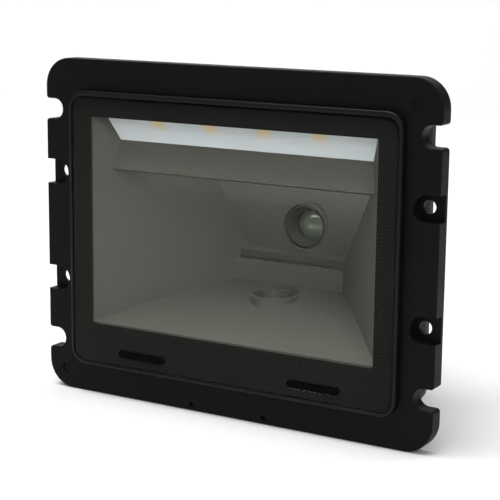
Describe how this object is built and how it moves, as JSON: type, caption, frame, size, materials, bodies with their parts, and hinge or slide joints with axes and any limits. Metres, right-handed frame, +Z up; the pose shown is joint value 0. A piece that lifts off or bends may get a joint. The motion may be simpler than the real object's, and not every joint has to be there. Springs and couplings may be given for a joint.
{
  "type": "flatbed barcode scanner",
  "caption": "Panel-mount flatbed barcode scanner: slotted flange, raised glass window over a light box with a fold mirror and upward camera, rear tub with a modular socket.",
  "frame": {"origin": "middle of the four M3 holes on the mounting flange's back face, the plane that meets the panel", "axes": "+X right and +Z up for a person facing the window, +Y from the window into the panel"},
  "size_m": [0.12, 0.0518, 0.094],
  "materials": {
    "housing_black": "fine matt moulded texture",
    "rear_black": "matt moulded texture",
    "bezel_black": "satin",
    "window_glass": "polished, faintly green",
    "print_black": "satin ink, brown-black",
    "tape_black": "matt tape",
    "sensor_plug": "infrared-pass, smooth",
    "gasket_foam": "closed-cell foam",
    "light_box_grey": "satin olive-grey moulding",
    "diffuser_opal": "opal, satin",
    "led_white": "lamp package with phosphor",
    "board_green": "solder mask",
    "mirror_face": "front-surface mirror",
    "carrier_black": "matt moulding",
    "lens_black": "black anodised",
    "lens_glass": "coated, green reflex",
    "lock_ring_brass": "knurled, turned",
    "filter_glass": "cyan-tinted filter",
    "sensor_chip": "glass-lidded package",
    "screw_steel": "zinc-plated",
    "screw_black": "black oxide",
    "connector_white": "natural nylon",
    "latch_brown": "dark brown flip bar",
    "ribbon_white": "flat cable with a stiffened end",
    "emitter_clear": "clear epoxy",
    "receiver_dark": "dark epoxy",
    "shield_tin": "tinned sheet",
    "chip_black": "moulded package",
    "coil_grey": "ferrite and capacitor sleeves",
    "beeper_black": "moulded sounder",
    "socket_black": "moulded socket",
    "contact_gold": "gold-plated wire",
    "label_silver": "blank silver polyester plate"
  },
  "bodies": {
    "main": {"front_housing": "housing_black", "bezel_gasket": "gasket_foam", "window_bezel": "bezel_black", "window_tape": "tape_black", "window_glass": "window_glass", "border_print": "print_black", "sensor_window_left": "sensor_plug", "sensor_window_right": "sensor_plug", "window_foam": "gasket_foam", "light_box": "light_box_grey", "light_box_screws": "screw_steel", "light_diffuser": "diffuser_opal", "illumination_leds": "led_white", "illumination_board": "board_green", "illumination_ribbon": "ribbon_white", "fold_mirror": "mirror_face", "mirror_carrier": "carrier_black", "mirror_screws": "screw_steel", "lens_lock_ring": "lock_ring_brass", "lens_holder": "lens_black", "infrared_cut_filter": "filter_glass", "image_sensor": "sensor_chip", "camera_board": "board_green", "camera_board_screws": "screw_steel", "lens_holder_screws": "screw_steel", "camera_connector": "connector_white", "camera_ribbon": "ribbon_white", "main_connector": "connector_white", "board_connectors": "connector_white", "sensor_board": "board_green", "infrared_emitter": "emitter_clear", "infrared_receiver": "receiver_dark", "sensor_ribbon": "ribbon_white", "main_board": "board_green", "main_board_screws": "screw_steel", "processor_shield": "shield_tin", "processor_chip": "chip_black", "memory_chips": "chip_black", "power_parts": "coil_grey", "beeper": "beeper_black", "interface_socket": "socket_black", "interface_contacts": "contact_gold", "rear_housing": "rear_black", "housing_screws": "screw_black", "rear_label": "label_silver"},
    "lens": {"lens_barrel": "lens_black", "lens_front_element": "lens_glass", "lens_rear_element": "lens_glass"},
    "camera_latch": {"camera_connector_latch": "latch_brown"},
    "main_latch": {"main_connector_latch": "latch_brown"}
  },
  "joints": [
    {"name": "lens_focus", "type": "hinge", "parent": "main", "child": "lens", "pos_m": [0, 0.021, -0.02], "axis": [0, 0, 1], "range_deg": [-180, 180]},
    {"name": "camera_latch_flip", "type": "hinge", "parent": "main", "child": "camera_latch", "pos_m": [0, 0.0267, -0.03517], "axis": [-1, 0, 0], "range_deg": [0, 90]},
    {"name": "main_latch_flip", "type": "hinge", "parent": "main", "child": "main_latch", "pos_m": [0, 0.03597, -0.0261], "axis": [1, 0, 0], "range_deg": [0, 90]}
  ]
}
